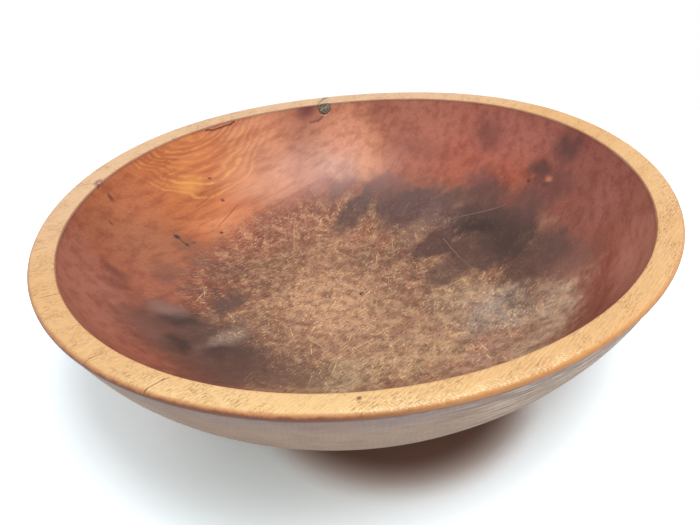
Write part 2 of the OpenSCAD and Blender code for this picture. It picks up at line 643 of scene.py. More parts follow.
    def dashes(self, vector, seed, cell, length, width, turn, spread, share, stretch):
        """Short straight cuts, one in a share of the cells, each turned its own way within the spread."""
        vector = self.vector("MULTIPLY_ADD", vector, (1 / stretch, 1, 0), (seed * 31.7, seed * 17.3, 0))
        cells = self.add("ShaderNodeTexVoronoi", voronoi_dimensions="2D")
        self.put(cells.inputs["Vector"], vector)
        cells.inputs["Scale"].default_value = 1 / cell
        random = self.add("ShaderNodeSeparateColor")
        self.put(random.inputs[0], cells.outputs["Color"])
        lean, pick, depth = random.outputs
        lean = self.scale_add(lean, -2 * radians(spread), radians(spread - turn))
        node = self.add("ShaderNodeVectorRotate", rotation_type="Z_AXIS")
        self.put(node.inputs["Vector"], self.vector("SUBTRACT", vector, cells.outputs["Position"]))
        self.put(node.inputs["Angle"], lean)
        reach = self.vector("LENGTH", self.scaled(node.outputs[0], (2 / length, 2 / width, 0)))
        depth = self.scale_add(depth, 0.6, 0.4)
        shown = self.times(self.math("LESS_THAN", pick, share), depth)
        return self.times(self.span(reach, 1.1, 0.5), shown)

    def toward(self, vector, turn):
        """How far a point lies in a direction: 1 at the rim, -1 at the rim behind."""
        return self.vector("DOT_PRODUCT", vector, tuple(v / BASE_R for v in direction(turn, 0)))

    def most(self, values):
        """The largest of some values."""
        top = values[0]
        for value in values[1:]:
            top = self.math("MAXIMUM", top, value)
        return top


def fresh_nodes(owner):
    """An empty node tree on a material or world."""
    owner.use_nodes = True
    owner.node_tree.nodes.clear()
    return Nodes(owner.node_tree)


def wood_material(name, roughness_mid, coat, coat_rough):
    """A shader with its uniform values, and the position in millimetres."""
    material = bpy.data.materials.new(name)
    n = fresh_nodes(material)
    shader = n.add("ShaderNodeBsdfPrincipled")
    n.put(n.add("ShaderNodeOutputMaterial").inputs["Surface"], shader.outputs[0])
    shader.inputs["Roughness"].default_value = roughness_mid
    shader.inputs["Coat Weight"].default_value = coat
    shader.inputs["Coat Roughness"].default_value = coat_rough
    p = n.vector("SCALE", n.add("ShaderNodeTexCoord").outputs["Object"], scale=PER_M)
    return material, n, shader, p


def finish_wood(n, shader, colour, rough, height, relief):
    """Colour, roughness and a bump of so many millimetres go to the shader."""
    n.put(shader.inputs["Base Color"], colour)
    n.put(shader.inputs["Roughness"], rough)
    bump = n.add("ShaderNodeBump")
    bump.inputs["Distance"].default_value = relief * MM
    n.put(bump.inputs["Height"], height)
    n.put(shader.inputs["Normal"], bump.outputs[0])


def run_of(n):
    """Way along the section from the rim's inside edge, in millimetres."""
    return n.add("ShaderNodeAttribute", attribute_name="profile_mm").outputs["Fac"]


# Grain: its turn from +X, the pith's height, the mean gap of the growth rings
GRAIN_TURN = 4
PITH_Z = 120
RING_GAP = 1.65

# Where the growth rings show in the hollow: from the pith, along the grain from a middle, across it
GLOW_REACH = (160.5, 165.5)
GLOW_ALONG = (80, 42)
GLOW_SHIFT = 4
GLOW_ACROSS = (80, 110)

# Ovals of the worn floor and of the knife cuts: middle, half size, turn, softness
WORN_ZONE = ((3, -11), (135, 136), 0, 0.10)
CUT_ZONE = ((0, -6), (130, 128), 0, 0.10)

# Directions of the rim's painted highlights on its front and on its far side, of its golden right, and of
# the wall's dry streaks
RIM_PAINTED_LIGHT_TURNS = (-140, 80, -60)
DRY_TURN = -75

# Ways along the section, from the rim's inside edge, over which tones come in; the under run is partly
# painted shade and the crease runs are painted shade, under the lip
WELL_EDGE_RUN = (-2.2, -0.3)
INNER_RUN = (0.9, 0.1)
LIP_RUN = (12.8, 15)
UNDER_RUN = (15.2, 16.8)
CREASE_SHADE_RUN = (15.9, 16.8)
WALL_CREASE_SHADE_RUN = (20.6, 18.2)
WALL_TONE_RUN = (24, 40)


def grain_frame(n, p):
    """The position with its first axis along the grain."""
    node = n.add("ShaderNodeVectorRotate", rotation_type="Z_AXIS")
    n.put(node.inputs["Vector"], p)
    node.inputs["Angle"].default_value = -radians(GRAIN_TURN)
    return node.outputs[0]


def growth(n, g):
    """Distance from the pith, a little wavy along the grain, and the same in rings."""
    x, y, z = n.split(g)
    wave = n.noise(n.join(n.times(x, 0.25), y, z), 22, 2)
    high = n.math("SUBTRACT", z, PITH_Z)
    reach = n.vector("LENGTH", n.join(0, y, high))
    reach = n.scale_add(n.math("SUBTRACT", wave, 0.5), 7, reach)
    quiver = n.noise(n.scaled(g, (0.6, 1, 1)), 4.5, 2)
    reach = n.scale_add(n.math("SUBTRACT", quiver, 0.5), 0.9, reach)
    return reach, n.math("DIVIDE", reach, RING_GAP)


def ring_lines(n, rings, power):
    wave = n.scale_add(n.math("SINE", n.times(rings, 2 * pi)), 0.5, 0.5)
    return n.math("POWER", wave, power)


def long_noise(n, g, along, across, detail=2, rough=0.55):
    """Noise drawn out along the grain."""
    return n.noise(n.scaled(g, (across / along, 1, 1)), across, detail, rough)


# Marks of the tables below: x and y of the middle and of the half size, in millimetres of the
# plan, turn in degrees, softness of the edge, red, green and blue in 8 bits, strength

# Tints of the oiled wall, three of them partly a painted pale reflection of the lamp on the back wall
WELL_TINTS_AND_SHEEN = (
    (-128, 100, 48, 34, -48, 0.7, 178, 103, 70, 0.8),
    (-165, 44, 26, 56, 0, 0.7, 172, 104, 86, 0.85),
    (-100, 128, 46, 30, -40, 0.7, 184, 116, 78, 0.7),
    (-26, 152, 58, 34, 6, 0.6, 212, 124, 66, 0.95),
    (6, 172, 36, 12, 0, 0.7, 232, 136, 76, 0.8),
    (50, 145, 44, 30, -16, 0.6, 190, 120, 94, 0.8),
    (106, 122, 40, 18, -42, 0.6, 206, 141, 106, 0.8),
    # Pale back wall, partly a painted reflection of the lamp: this line and the next
    (122, 98, 22, 14, -45, 0.7, 238, 162, 110, 0.8),
    (92, 118, 18, 9, -45, 0.7, 218, 158, 132, 0.7),
    (146, 60, 26, 44, 20, 0.7, 178, 100, 76, 0.8),
    (160, 16, 22, 44, 0, 0.6, 192, 108, 84, 0.85),
    (164, -30, 14, 26, 0, 0.7, 182, 96, 70, 0.8),
    (140, -88, 34, 44, -50, 0.6, 140, 72, 64, 0.85),
    (70, -138, 60, 26, 24, 0.6, 148, 80, 68, 0.8),
    (96, -122, 22, 9, 40, 0.8, 160, 90, 64, 0.7),
    (-20, -158, 70, 22, 0, 0.6, 136, 74, 58, 0.8),
    (-130, -100, 60, 40, 45, 0.6, 140, 78, 60, 0.8),
    (176, -14, 11, 52, 0, 0.7, 190, 114, 100, 0.7),
    (150, -100, 52, 12, 56, 0.7, 170, 100, 88, 0.75),
    (88, -149, 46, 11, 31, 0.7, 168, 104, 86, 0.7),
    (138, -84, 12, 34, -30, 0.8, 160, 88, 62, 0.5),
    (36, 170, 36, 14, -12, 0.7, 248, 172, 126, 0.8),
    (-53, 165, 26, 12, 12, 0.7, 230, 136, 72, 0.65),
    (-94, 150, 32, 14, 32, 0.7, 214, 128, 78, 0.6),
    (8, 158, 18, 10, 0, 0.7, 244, 162, 104, 0.8),
    (-24, 171, 24, 8, 0, 0.7, 240, 152, 90, 0.8),
    (-20, 132, 30, 10, 4, 0.7, 238, 154, 104, 0.8),
    # Pale back wall, partly a painted reflection of the lamp
    (113, 127, 22, 13, -40, 0.7, 238, 162, 126, 0.75),
    (32, 143, 38, 15, -12, 0.7, 236, 166, 128, 0.7),
    (160, 72, 22, 32, 22, 0.7, 200, 128, 106, 0.6),
    (-166, 58, 14, 50, -20, 0.7, 180, 120, 104, 0.7),
    (60, -163, 52, 10, 20, 0.7, 200, 138, 120, 0.75),
    (131, -119, 12, 28, -48, 0.7, 178, 112, 100, 0.6),
)

# Tints of the scratched floor, three of them partly a painted grey reflection of the light
FLOOR_TINTS_AND_SHEEN = (
    (-92, 82, 44, 30, -30, 0.7, 146, 80, 58, 0.85),
    (-104, 64, 20, 9, 0, 0.7, 166, 92, 64, 0.6),
    (0, 112, 90, 22, 0, 0.7, 172, 102, 78, 0.85),
    (34, 96, 26, 12, 6, 0.7, 184, 124, 96, 0.8),
    (36, 58, 30, 18, 10, 0.8, 206, 154, 122, 0.7),
    (62, 56, 20, 6, 10, 0.6, 184, 118, 86, 0.6),
    (58, 9, 15, 5, 6, 0.6, 188, 120, 88, 0.6),
    (-26, 8, 46, 40, 0, 0.8, 238, 188, 146, 0.88),
    (-22, 120, 16, 9, 0, 0.7, 224, 138, 104, 0.7),
    (-74, 10, 22, 34, 0, 0.8, 146, 108, 84, 0.7),
    (52, 26, 40, 22, 0, 0.8, 152, 114, 92, 0.8),
    (34, -18, 36, 20, 0, 0.8, 152, 114, 90, 0.6),
    (-22, -60, 44, 26, -24, 0.7, 208, 166, 128, 0.75),
    (-30, -82, 28, 14, -30, 0.8, 218, 182, 138, 0.7),
    # Pale olive wood with a painted grey reflection of the light
    (-78, -58, 20, 18, 0, 0.8, 192, 174, 134, 0.75),
    (38, -58, 26, 14, 0, 0.6, 194, 164, 132, 0.85),
    # Greyish wood with a painted grey reflection of the light: this line and the next
    (38, -92, 28, 22, 0, 0.6, 186, 174, 160, 0.85),
    (56, -84, 9, 14, 0, 0.7, 166, 152, 140, 0.8),
    (40, -130, 56, 22, 12, 0.6, 214, 190, 162, 0.9),
    (-8, -110, 24, 14, 0, 0.8, 202, 160, 136, 0.75),
    (62, 14, 15, 11, 0, 0.7, 132, 100, 82, 0.7),
    (-50, 57, 24, 13, 0, 0.8, 144, 106, 84, 0.65),
    (21, -57, 9, 9, 0, 0.8, 158, 126, 100, 0.7),
    (50, -70, 9, 8, 0, 0.7, 224, 190, 156, 0.75),
    (54, -105, 14, 13, 0, 0.7, 128, 104, 90, 0.7),
    (16, -123, 16, 9, 0, 0.8, 140, 96, 78, 0.7),
    (68, 36, 18, 9, 0, 0.8, 198, 140, 110, 0.5),
    (-80, -24, 12, 11, 0, 0.8, 132, 98, 76, 0.6),
)

# Stains of the inside, with ragged edges, and two painted grey reflections of the light
WELL_STAINS_AND_SHEEN = (
    (85, -2, 26, 14, 0, 0.3, 86, 58, 54, 0.87),
    (96, -38, 27, 28, 0, 0.3, 84, 56, 50, 0.85),
    (60, -34, 20, 11, -10, 0.35, 104, 76, 64, 0.8),
    (121, -24, 14, 30, 14, 0.35, 50, 33, 28, 0.88),
    (92, -88, 24, 25, 20, 0.3, 88, 56, 48, 0.88),
    (112, -60, 24, 14, 15, 0.4, 66, 44, 38, 0.85),
    (138, -14, 15, 20, 0, 0.5, 94, 62, 58, 0.8),
    (136, -52, 14, 18, 30, 0.6, 104, 68, 62, 0.7),
    (76, 79, 31, 10, 8, 0.35, 96, 68, 64, 0.85),
    (108, 68, 14, 18, 30, 0.4, 136, 86, 78, 0.8),
    (98, 46, 22, 22, 0, 0.5, 96, 68, 64, 0.85),
    (116, 28, 17, 30, 0, 0.4, 102, 72, 70, 0.85),
    (130, 12, 9, 12, 0, 0.5, 98, 70, 64, 0.7),
    (72, 104, 15, 6, 8, 0.8, 128, 92, 80, 0.5),
    (88, 20, 24, 8, 0, 0.7, 142, 108, 92, 0.6),
    (-122, 26, 33, 42, 20, 0.45, 90, 62, 56, 0.85),
    (-135, 27, 10, 9, 0, 0.5, 42, 32, 28, 0.88),
    (-120, 51, 11, 8, 0, 0.6, 54, 34, 30, 0.85),
    (-115, 12, 10, 7, 0, 0.6, 54, 42, 36, 0.75),
    # Painted grey reflections of the light on the worn wood: this line and the next
    (-102, 26, 13, 6, 12, 0.9, 178, 154, 138, 0.55),
    (-121, 61, 8, 7, 0, 0.9, 156, 128, 118, 0.5),
    (108, -47, 17, 15, 0, 0.6, 72, 46, 40, 0.75),
    (-75, 60, 10, 8, 0, 0.7, 96, 66, 56, 0.6),
    (91, 76, 14, 9, 0, 0.7, 104, 76, 68, 0.5),
    (-144, 39, 7, 16, 10, 0.8, 128, 88, 78, 0.6),
    (-117, 34, 9, 8, 0, 0.8, 84, 58, 50, 0.5),
    (-112, -6, 14, 6, -20, 0.8, 118, 88, 76, 0.5),
    (76, 106, 12, 7, 0, 0.8, 120, 76, 66, 0.4),
    (149, 2, 8, 12, 0, 0.8, 104, 74, 74, 0.5),
    (84, -116, 18, 13, -40, 0.6, 124, 78, 66, 0.75),
    (-73, 118, 10, 6, 0, 0.6, 104, 72, 60, 0.4),
    (-104, 4, 9, 6, 0, 0.7, 66, 52, 44, 0.7),
    (-80, 58, 16, 10, 0, 0.5, 100, 72, 64, 0.75),
    (-96, 96, 11, 6, -20, 0.8, 104, 72, 64, 0.4),
    (-107, 88, 8, 5, 0, 0.8, 100, 70, 62, 0.4),
    (-90, 76, 11, 6, -20, 0.8, 104, 72, 64, 0.4),
    (-56, 89, 17, 10, 4, 0.8, 110, 76, 64, 0.45),
    (-70, 103, 10, 5, 10, 0.8, 104, 72, 62, 0.4),
    (-135, 91, 7, 5, 0, 0.7, 116, 62, 52, 0.8),
    (-140, 80, 7, 4, 0, 0.7, 116, 62, 52, 0.7),
    (-120, -12, 32, 20, 0, 0.5, 90, 60, 52, 0.8),
    (-98, -34, 24, 12, -38, 0.6, 110, 80, 66, 0.7),
    (174, 12, 6, 14, 0, 0.8, 112, 58, 50, 0.6),
    (160, -48, 5, 9, -25, 0.8, 84, 48, 44, 0.8),
    (167, -66, 4, 13, -20, 0.8, 92, 54, 50, 0.8),
    (150, -70, 7, 14, -30, 0.8, 104, 56, 50, 0.6),
    (150, 62, 6, 26, 18, 0.8, 134, 70, 58, 0.4),
)

# Small dark and pale spots of the inside, in the same form
WELL_SPOTS = (
    (-74, 124.5, 2.2, 1.4, 0, 0.5, 52, 34, 34, 0.9),
    (-70.5, 118, 1.2, 1.4, 0, 0.6, 60, 42, 38, 0.8),
    (-64, 119, 1.4, 0.9, 0, 0.6, 96, 62, 52, 0.7),
    (-17.5, 144.5, 1.7, 1, 0, 0.6, 120, 52, 34, 0.9),
    (-37, 122.5, 1.6, 0.9, 0, 0.6, 84, 40, 36, 0.9),
    (-17.5, 158.8, 1.3, 0.6, 0, 0.6, 118, 56, 30, 0.9),
    (-118, 124.5, 1.3, 0.9, 0, 0.6, 128, 66, 44, 0.8),
    (153.5, -59.5, 1.2, 2.8, -24, 0.8, 214, 130, 88, 0.8),
    (156, -44, 1.2, 1.6, 0, 0.9, 182, 98, 70, 0.6),
    (92, 153, 8.5, 2.4, -27, 0.9, 112, 50, 46, 0.85),
    (-107.6, 139.2, 1.8, 1.2, 38, 0.7, 104, 50, 46, 0.8),
    (153.6, -42.6, 0.9, 1.8, -20, 0.8, 82, 44, 38, 0.8),
    (150.5, -58, 1, 2.6, -24, 0.8, 96, 50, 42, 0.7),
)

# Single cuts and cracks of the inside: ends, width, colour in 8 bits, strength
WELL_LINES = (
    ((-74, 124.5), (-70.5, 117.5), 0.9, (70, 48, 42), 0.8),
    ((-52, 131), (-34, 134), 0.5, (150, 84, 56), 0.6),
    ((-36, 128), (-8, 138.5), 0.6, (134, 74, 52), 0.7),
    ((-43, 144), (-26, 149), 0.6, (150, 80, 48), 0.7),
    ((-2, 177), (27, 175.2), 0.5, (92, 40, 40), 0.85),
    ((90, 149), (97, 145.4), 0.9, (118, 70, 62), 0.7),
    ((97, 145.4), (103, 143.4), 1.1, (116, 76, 66), 0.7),
    ((107, 9), (119, -4), 1.2, (132, 106, 98), 0.5),
    ((119, -4), (137, -34), 1.1, (138, 112, 104), 0.55),
    ((93, -5), (80, -31), 0.6, (178, 150, 128), 0.5),
    ((80, -31), (72, -50), 0.5, (168, 140, 118), 0.4),
    ((33, -46), (32, -58), 0.9, (210, 182, 142), 0.6),
    ((32, -58), (46, -80), 0.8, (206, 178, 142), 0.5),
    ((1, 79), (24, 104), 0.7, (206, 160, 118), 0.6),
    ((7, 96), (13, 103), 0.6, (206, 160, 118), 0.5),
    ((42, 100), (43, 92), 0.9, (214, 160, 122), 0.6),
)

# Knife cuts of the floor, which stand by their worn pale edges:
# cell, length, width, turn, spread, share of the cells, stretch along the grain
PALE_CUTS = (
    (2.8, 2.3, 0.66, 4, 60, 0.40, 1.3),
    (5.6, 4.4, 0.72, 10, 80, 0.46, 1),
    (9.5, 8, 0.74, 16, 60, 0.46, 1),
    (22, 19, 0.66, 24, 70, 0.40, 1),
)

# Cuts and torn grain that have filled with dark dirt
DARK_CUTS = (
    (1.8, 1.6, 0.80, 6, 25, 0.44, 1.8),
    (3, 2.9, 0.70, 0, 90, 0.34, 1),
)


def paint(n, colour, vector, marks, fray=None):
    """The colour with a table's marks on it, whose edges fray makes uneven."""
    for x, y, half_x, half_y, turn, soft, *tone, strength in marks:
        share = n.blot(vector, (x, y), (half_x, half_y), turn, soft, fray)
        colour = n.tint(colour, share, strength, *tone)
    return colour


def draw(n, colour, vector, marks):
    """The colour with a table's lines on it."""
    for start, end, width, tone, strength in marks:
        colour = n.tint(colour, n.stroke(vector, start, end, width), strength, *tone)
    return colour


def well_wall(n, p, g, drift):
    """Oiled wall: red-brown heartwood, golden growth lines on the back left, pale patches on the back wall
    partly a painted reflection of the lamp.
    """
    colour = n.mix(n.noise(p, 38, 3), rgb(144, 80, 62), rgb(166, 96, 72))
    colour = paint(n, colour, drift, WELL_TINTS_AND_SHEEN)
    broad = long_noise(n, g, 60, 7, 3)
    colour = n.mix(n.span(broad, 0.4, 0.7, 0, 0.45), colour, rgb(186, 124, 108), "MULTIPLY")
    streak = long_noise(n, g, 26, 1.8, 4, 0.65)
    colour = n.mix(n.span(streak, 0.38, 0.72, 0, 0.22), colour, rgb(176, 120, 98), "MULTIPLY")
    pale = long_noise(n, n.moved(g, (0, 60, 14)), 16, 0.9, 3)
    colour = n.wash(colour, pale, 0.52, 0.74, 0.25, 226, 160, 118)

    reach, rings = growth(n, g)
    x, y, _ = n.split(g)
    middle = n.math("ABSOLUTE", n.math("ADD", x, GLOW_SHIFT))
    inside = n.times(n.span(reach, *GLOW_REACH), n.span(middle, *GLOW_ALONG), n.span(y, *GLOW_ACROSS))
    broken = n.span(n.noise(n.moved(p, (9, 2, 5)), 9, 4, 0.6), 0.36, 0.64, 0, 1)
    by_ring = n.add("ShaderNodeTexNoise", noise_dimensions="1D")
    n.put(by_ring.inputs["W"], rings)
    by_ring.inputs["Scale"].default_value = 0.9
    by_ring.inputs["Detail"].default_value = 1
    broken = n.times(broken, n.span(by_ring.outputs["Fac"], 0.38, 0.62, 0.25, 1))
    lines = n.times(ring_lines(n, rings, 1.7), n.times(inside, broken))
    colour = n.tint(colour, lines, 0.75, 250, 180, 104)
    gaps = n.math("SUBTRACT", 1, ring_lines(n, rings, 1))
    colour = n.tint(colour, n.times(gaps, inside), 0.25, 170, 92, 52)
    bright = n.blot(drift, (-38, 158), (12, 4), 4, 0.9)
    colour = n.tint(colour, bright, 0.6, 248, 174, 86)
    return colour, streak


def well_floor(n, g, flat, drift):
    """Scratched floor, before its cuts, and its torn grain."""
    colour = n.mix(n.span(n.noise(flat, 24, 4, 0.6), 0.35, 0.65), rgb(150, 110, 84), rgb(174, 132, 101))
    colour = paint(n, colour, drift, FLOOR_TINTS_AND_SHEEN)
    red = n.span(n.noise(n.moved(flat, (300, 40, 0)), 14, 4, 0.62), 0.46, 0.66, 0, 0.4)
    colour = n.mix(red, colour, rgb(168, 104, 78))
    smoke = n.span(n.noise(n.moved(flat, (70, 440, 0)), 11, 4, 0.62), 0.46, 0.68, 0, 0.5)
    colour = n.mix(smoke, colour, rgb(116, 88, 74))
    mottle = n.noise(n.moved(flat, (40, 11, 0)), 8.5, 5, 0.62)
    colour = n.mix(n.span(mottle, 0.55, 0.36, 0, 0.62), colour, rgb(184, 170, 158), "MULTIPLY")
    colour = n.wash(colour, mottle, 0.5, 0.66, 0.5, 220, 178, 134)
    torn = long_noise(n, n.scaled(g, (1, 1, 0)), 5, 0.95, 4, 0.62)
    colour = n.wash(colour, torn, 0.50, 0.34, 0.7, 92, 58, 46)
    colour = n.wash(colour, torn, 0.52, 0.68, 0.45, 214, 158, 112)
    return colour, torn


def well_material():
    """Inside: oiled heartwood wall and a floor that knives have scratched."""
    material, n, shader, p = wood_material("well_wood_oiled", 0.4, 0.12, 0.22)
    flat = n.scaled(p, (1, 1, 0))
    g = grain_frame(n, p)
    drift = n.sway(n.sway(flat, 30, 7), 9, 3.5)
    near = n.sway(flat, 6, 0.7)

    wall, streak = well_wall(n, p, g, drift)
    floor, torn = well_floor(n, g, flat, drift)
    fray = n.math("SUBTRACT", long_noise(n, g, 13, 6, 6, 0.68), 0.5)
    worn = n.blot(drift, *WORN_ZONE, n.times(fray, 0.35))
    colour = n.mix(n.times(worn, 0.94), wall, floor)
    colour = paint(n, colour, drift, WELL_STAINS_AND_SHEEN, n.times(fray, 1.1))

    cut_zone = n.blot(n.sway(flat, 14, 12), *CUT_ZONE)
    dense = n.span(n.noise(flat, 20, 3), 0.40, 0.58, 0.3, 1)
    bent = n.sway(flat, 18, 0.9)
    light = n.most([n.dashes(bent, k + 1, *cut) for k, cut in enumerate(PALE_CUTS)])
    light = n.times(light, cut_zone, dense)
    dark = n.most([n.dashes(bent, k + 21, *cut) for k, cut in enumerate(DARK_CUTS)])
    fleck = n.span(n.noise(flat, 1.5, 3, 0.6), 0.38, 0.28)
    rough_patch = n.span(n.noise(n.moved(flat, (5, 90, 0)), 16, 3), 0.4, 0.62, 0.25, 1)
    dark = n.times(n.math("MAXIMUM", dark, fleck), cut_zone, rough_patch)
    shade = n.add("ShaderNodeSeparateColor")
    n.put(shade.inputs[0], colour)
    calm = n.span(shade.outputs[0], 0.09, 0.32, 0.1, 1)
    colour = n.tint(colour, dark, 0.8, 58, 36, 29)
    worn_edge = n.mix(0.6, n.mix(1, colour, (2.3, 2.1, 1.9, 1), "MULTIPLY"), rgb(255, 220, 158))
    colour = n.mix(n.times(light, calm, 0.95), colour, worn_edge)
    colour = paint(n, colour, near, WELL_SPOTS)
    colour = draw(n, colour, near, WELL_LINES)
    edge = n.span(run_of(n), *WELL_EDGE_RUN)
    colour = n.tint(colour, edge, 0.45, 96, 52, 50)

    fine = n.noise(p, 1.6, 3, 0.6)
    rough = n.scale_add(fine, 0.10, 0.34)
    rough = n.math("ADD", rough, n.times(cut_zone, 0.12))
    nicks = n.noise(n.scaled(flat, (0.6, 1, 1)), 0.9, 3, 0.6)
    height = n.times(n.math("ADD", torn, nicks), n.blot(flat, *CUT_ZONE))
    height = n.scale_add(streak, 0.06, height)
    finish_wood(n, shader, colour, rough, height, 0.28)
    return material


# Lines on the rim, in the same form: drying checks, the grey-green bark line and a hairline
RIM_LINES = (
    ((-191, 33.5), (-182, 32.5), 0.5, (120, 78, 56), 0.7),
    ((-180, 82.5), (-170, 82), 0.5, (140, 92, 66), 0.6),
    ((-196, -30.5), (-187, -29), 0.5, (110, 70, 50), 0.75),
    ((-187, -65.5), (-177, -64), 0.55, (104, 66, 48), 0.8),
    ((-178, -64.5), (-175.5, -64.6), 0.6, (96, 62, 48), 0.7),
    ((-129, 146), (-112, 143), 0.7, (176, 124, 104), 0.8),
    ((103, 149), (113, 152), 3, (138, 128, 104), 0.6),
    ((112, 151.5), (125, 153), 3.2, (150, 138, 112), 0.6),
    ((105, 150), (120, 151), 0.6, (84, 74, 62), 0.7),
    ((108, 146), (114, 147), 2.4, (168, 150, 122), 0.5),
)

# Small dark and pale spots of the rim
RIM_SPOTS = (
    (-131.5, -131.5, 1.2, 0.8, 20, 0.6, 128, 74, 48, 0.9),
    (-125, -126, 1.4, 0.8, 40, 0.6, 120, 66, 44, 0.9),
    (-111.5, 143.5, 4.2, 1.6, 38, 0.7, 118, 72, 58, 0.8),
    (-111, 143, 1.4, 0.6, 38, 0.6, 226, 176, 156, 0.8),
    (184.5, 40, 1.6, 0.7, 0, 0.7, 170, 116, 74, 0.7),
    (188, 22, 1.4, 0.6, 0, 0.7, 160, 106, 66, 0.7),
    (186, 58, 1.6, 0.6, 0, 0.7, 160, 106, 66, 0.6),
)


def rim_material():
    """Rim and rolled lip: pale golden wood, dark along the lip, partly stain and partly painted shade, with
    painted highlights and glints.
    """
    material, n, shader, p = wood_material("rim_wood_handled_shaded", 0.38, 0.2, 0.18)
    flat = n.scaled(p, (1, 1, 0))
    g = grain_frame(n, p)
    run = run_of(n)
    colour = n.mix(n.noise(p, 40, 2), rgb(230, 176, 114), rgb(242, 198, 138))
    front, away, right = (n.toward(flat, turn) for turn in RIM_PAINTED_LIGHT_TURNS)
    # Painted highlights: the front and the far side of the rim are painted paler
    colour = n.wash(colour, front, 0.84, 0.99, 0.6, 255, 222, 158)
    colour = n.wash(colour, away, 0, 0.6, 0.8, 238, 199, 160)
    rings = ring_lines(n, growth(n, g)[1], 1.5)
    colour = n.tint(colour, rings, 0.2, 208, 146, 86)
    cluster = n.span(n.noise(n.scaled(g, (0.5, 1, 1)), 9, 3), 0.40, 0.64, 0.3, 1)
    fibre = long_noise(n, g, 6, 0.55, 4, 0.65)
    colour = n.mix(n.times(cluster, n.span(fibre, 0.45, 0.68, 0, 0.7)), colour, rgb(186, 120, 64))
    pale = long_noise(n, n.moved(g, (50, 9, 4)), 14, 0.9, 2)
    colour = n.wash(colour, pale, 0.5, 0.75, 0.35, 250, 214, 158)
    pores = long_noise(n, n.moved(g, (0, 77, 31)), 3.2, 0.42, 1)
    pore = n.times(cluster, n.span(pores, 0.60, 0.72))
    colour = n.tint(colour, pore, 0.6, 150, 92, 50)

    uneven = n.scale_add(n.noise(p, 9, 3), 1.6, run)
    lip = n.span(uneven, *LIP_RUN)
    golden = n.span(right, 0.15, 0.5)
    colour = n.mix(n.times(lip, 0.85), colour, n.mix(golden, rgb(204, 130, 80), rgb(226, 156, 88)))
    # Under the lip: a dark band, partly the wood's own stain and partly painted shade, golden towards the
    # right
    jagged = n.scale_add(n.noise(n.scaled(p, (1, 1, 0.2)), 5, 5, 0.7), 3.2, run)
    under = n.span(jagged, *UNDER_RUN)
    colour = n.mix(n.times(under, 0.85), colour, n.mix(golden, rgb(118, 62, 44), rgb(210, 142, 78)))
    # Painted shade in the crease where the lip meets the wall
    crease_shade = n.span(run, *CREASE_SHADE_RUN)
    colour = n.mix(n.times(crease_shade, 0.8), colour, n.mix(golden, rgb(110, 56, 44), rgb(138, 82, 56)))
    cut = n.add("ShaderNodeAttribute", attribute_name="ripple").outputs["Fac"]
    # Painted shade in the ripples' troughs and painted glints of light along their flanks
    colour = n.wash(colour, cut, 0.2, 0.6, 0.3, 186, 120, 66)
    ripple_glint = n.times(n.span(cut, 0.03, 0.12), n.span(cut, 0.34, 0.2))
    ripple_glint = n.times(ripple_glint, n.span(n.noise(p, 1.3, 2), 0.42, 0.62))
    colour = n.tint(colour, ripple_glint, 0.75, 255, 236, 190)
    inner = n.span(run, *INNER_RUN)
    colour = n.tint(colour, inner, 0.7, 150, 96, 84)
    colour = paint(n, colour, n.sway(flat, 4, 0.6), RIM_SPOTS)
    colour = draw(n, colour, n.sway(flat, 5, 0.7), RIM_LINES)

    rough = n.scale_add(n.noise(p, 2, 3), 0.16, 0.32)
    height = n.scale_add(fibre, 0.45, n.times(pore, -0.8))
    finish_wood(n, shader, colour, rough, height, 0.22)
    return material


def wall_material():
    """Outside: dry wood, grey and mauve under the lip, partly a painted reflection of the floor, and tan
    below; painted shade in the crease under the lip.
    """
    material, n, shader, p = wood_material("wall_wood_dry", 0.4, 0.1, 0.3)
    g = grain_frame(n, p)
    run = run_of(n)
    # Grey-mauve upper wall: partly the dry wood's tone, partly a painted reflection of the bright floor
    drift = n.scale_add(n.noise(p, 26, 3), 12, run)
    colour = n.mix(n.span(drift, *WALL_TONE_RUN), rgb(168, 146, 142), rgb(192, 166, 144))
    patch = n.noise(n.moved(p, (90, 0, 0)), 48, 3)
    colour = n.wash(colour, patch, 0.42, 0.7, 0.5, 172, 134, 110)
    smudge = n.noise(n.scaled(n.moved(p, (7, 60, 0)), (0.4, 0.4, 1)), 5, 4, 0.6)
    colour = n.wash(colour, smudge, 0.45, 0.7, 0.4, 144, 118, 112)
    fibre = n.noise(n.scaled(g, (0.06, 0.2, 1)), 0.8, 3, 0.55)
    colour = n.wash(colour, fibre, 0.45, 0.75, 0.35, 214, 194, 172)
    dark = n.noise(n.moved(n.scaled(g, (0.1, 0.25, 1)), (0, 40, 9)), 0.7, 3, 0.6)
    colour = n.wash(colour, dark, 0.58, 0.74, 0.45, 134, 108, 96)
    lines = ring_lines(n, growth(n, g)[1], 2)
    colour = n.tint(colour, lines, 0.14, 146, 120, 104)
    dry_zone = n.span(n.toward(p, DRY_TURN), 0.5, 0.85)
    dry = n.noise(n.moved(n.scaled(p, (0.09, 0.09, 1)), (0, 9, 50)), 1.7, 3, 0.6)
    colour = n.mix(n.times(dry_zone, n.span(dry, 0.53, 0.62, 0, 0.9)), colour, rgb(236, 218, 194))
    colour = n.mix(n.times(dry_zone, n.span(dry, 0.46, 0.37, 0, 0.8)), colour, rgb(120, 90, 70))
    # Painted shade on the wall, in the crease under the lip
    crease_shade = n.span(n.scale_add(n.noise(p, 4, 3), 1.6, run), *WALL_CREASE_SHADE_RUN)
    colour = n.tint(colour, crease_shade, 0.8, 104, 60, 52)
    rough = n.scale_add(fibre, 0.16, 0.32)
    height = n.scale_add(fibre, 0.6, n.times(dark, -0.3))
    finish_wood(n, shader, colour, rough, height, 0.2)
    return material


